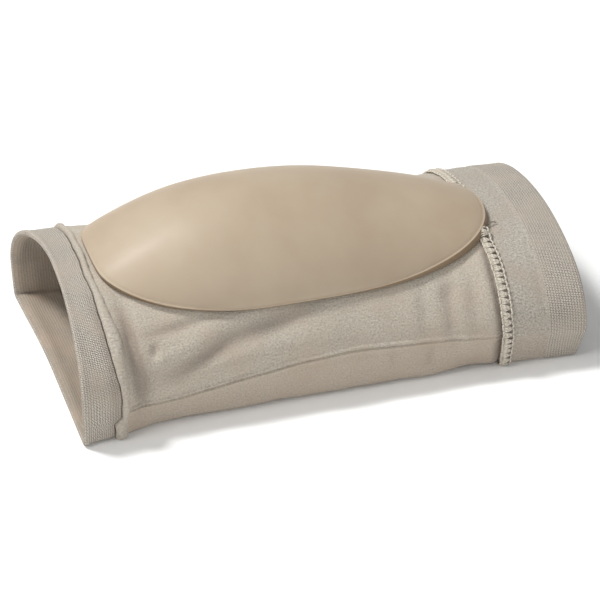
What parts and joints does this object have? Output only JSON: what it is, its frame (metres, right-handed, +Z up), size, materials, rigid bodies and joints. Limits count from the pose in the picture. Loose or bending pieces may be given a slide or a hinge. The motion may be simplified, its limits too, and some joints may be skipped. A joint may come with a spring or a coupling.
{
  "type": "arch support sleeve",
  "caption": "Short elastic knit sleeve for the middle of the foot, with a domed gel arch pad on top and a sewn band at each mouth, lying on a flat surface.",
  "frame": {"origin": "middle of the bounding box's bottom, on the surface that the sleeve lies on", "axes": "+X along the sleeve from the narrow mouth to the broad one, +Y across it to the back, +Z up through the pad"},
  "size_m": [0.1128, 0.0596, 0.0375],
  "materials": {
    "knit": "matte",
    "band_knit": "matte",
    "thread": "matte",
    "gel": "satin"
  },
  "bodies": {
    "root": {"narrow_cuff": "band_knit", "narrow_seam": "thread", "sleeve_body": "knit", "broad_seam": "thread", "broad_cuff": "band_knit", "gel_pad": "gel"}
  },
  "joints": []
}
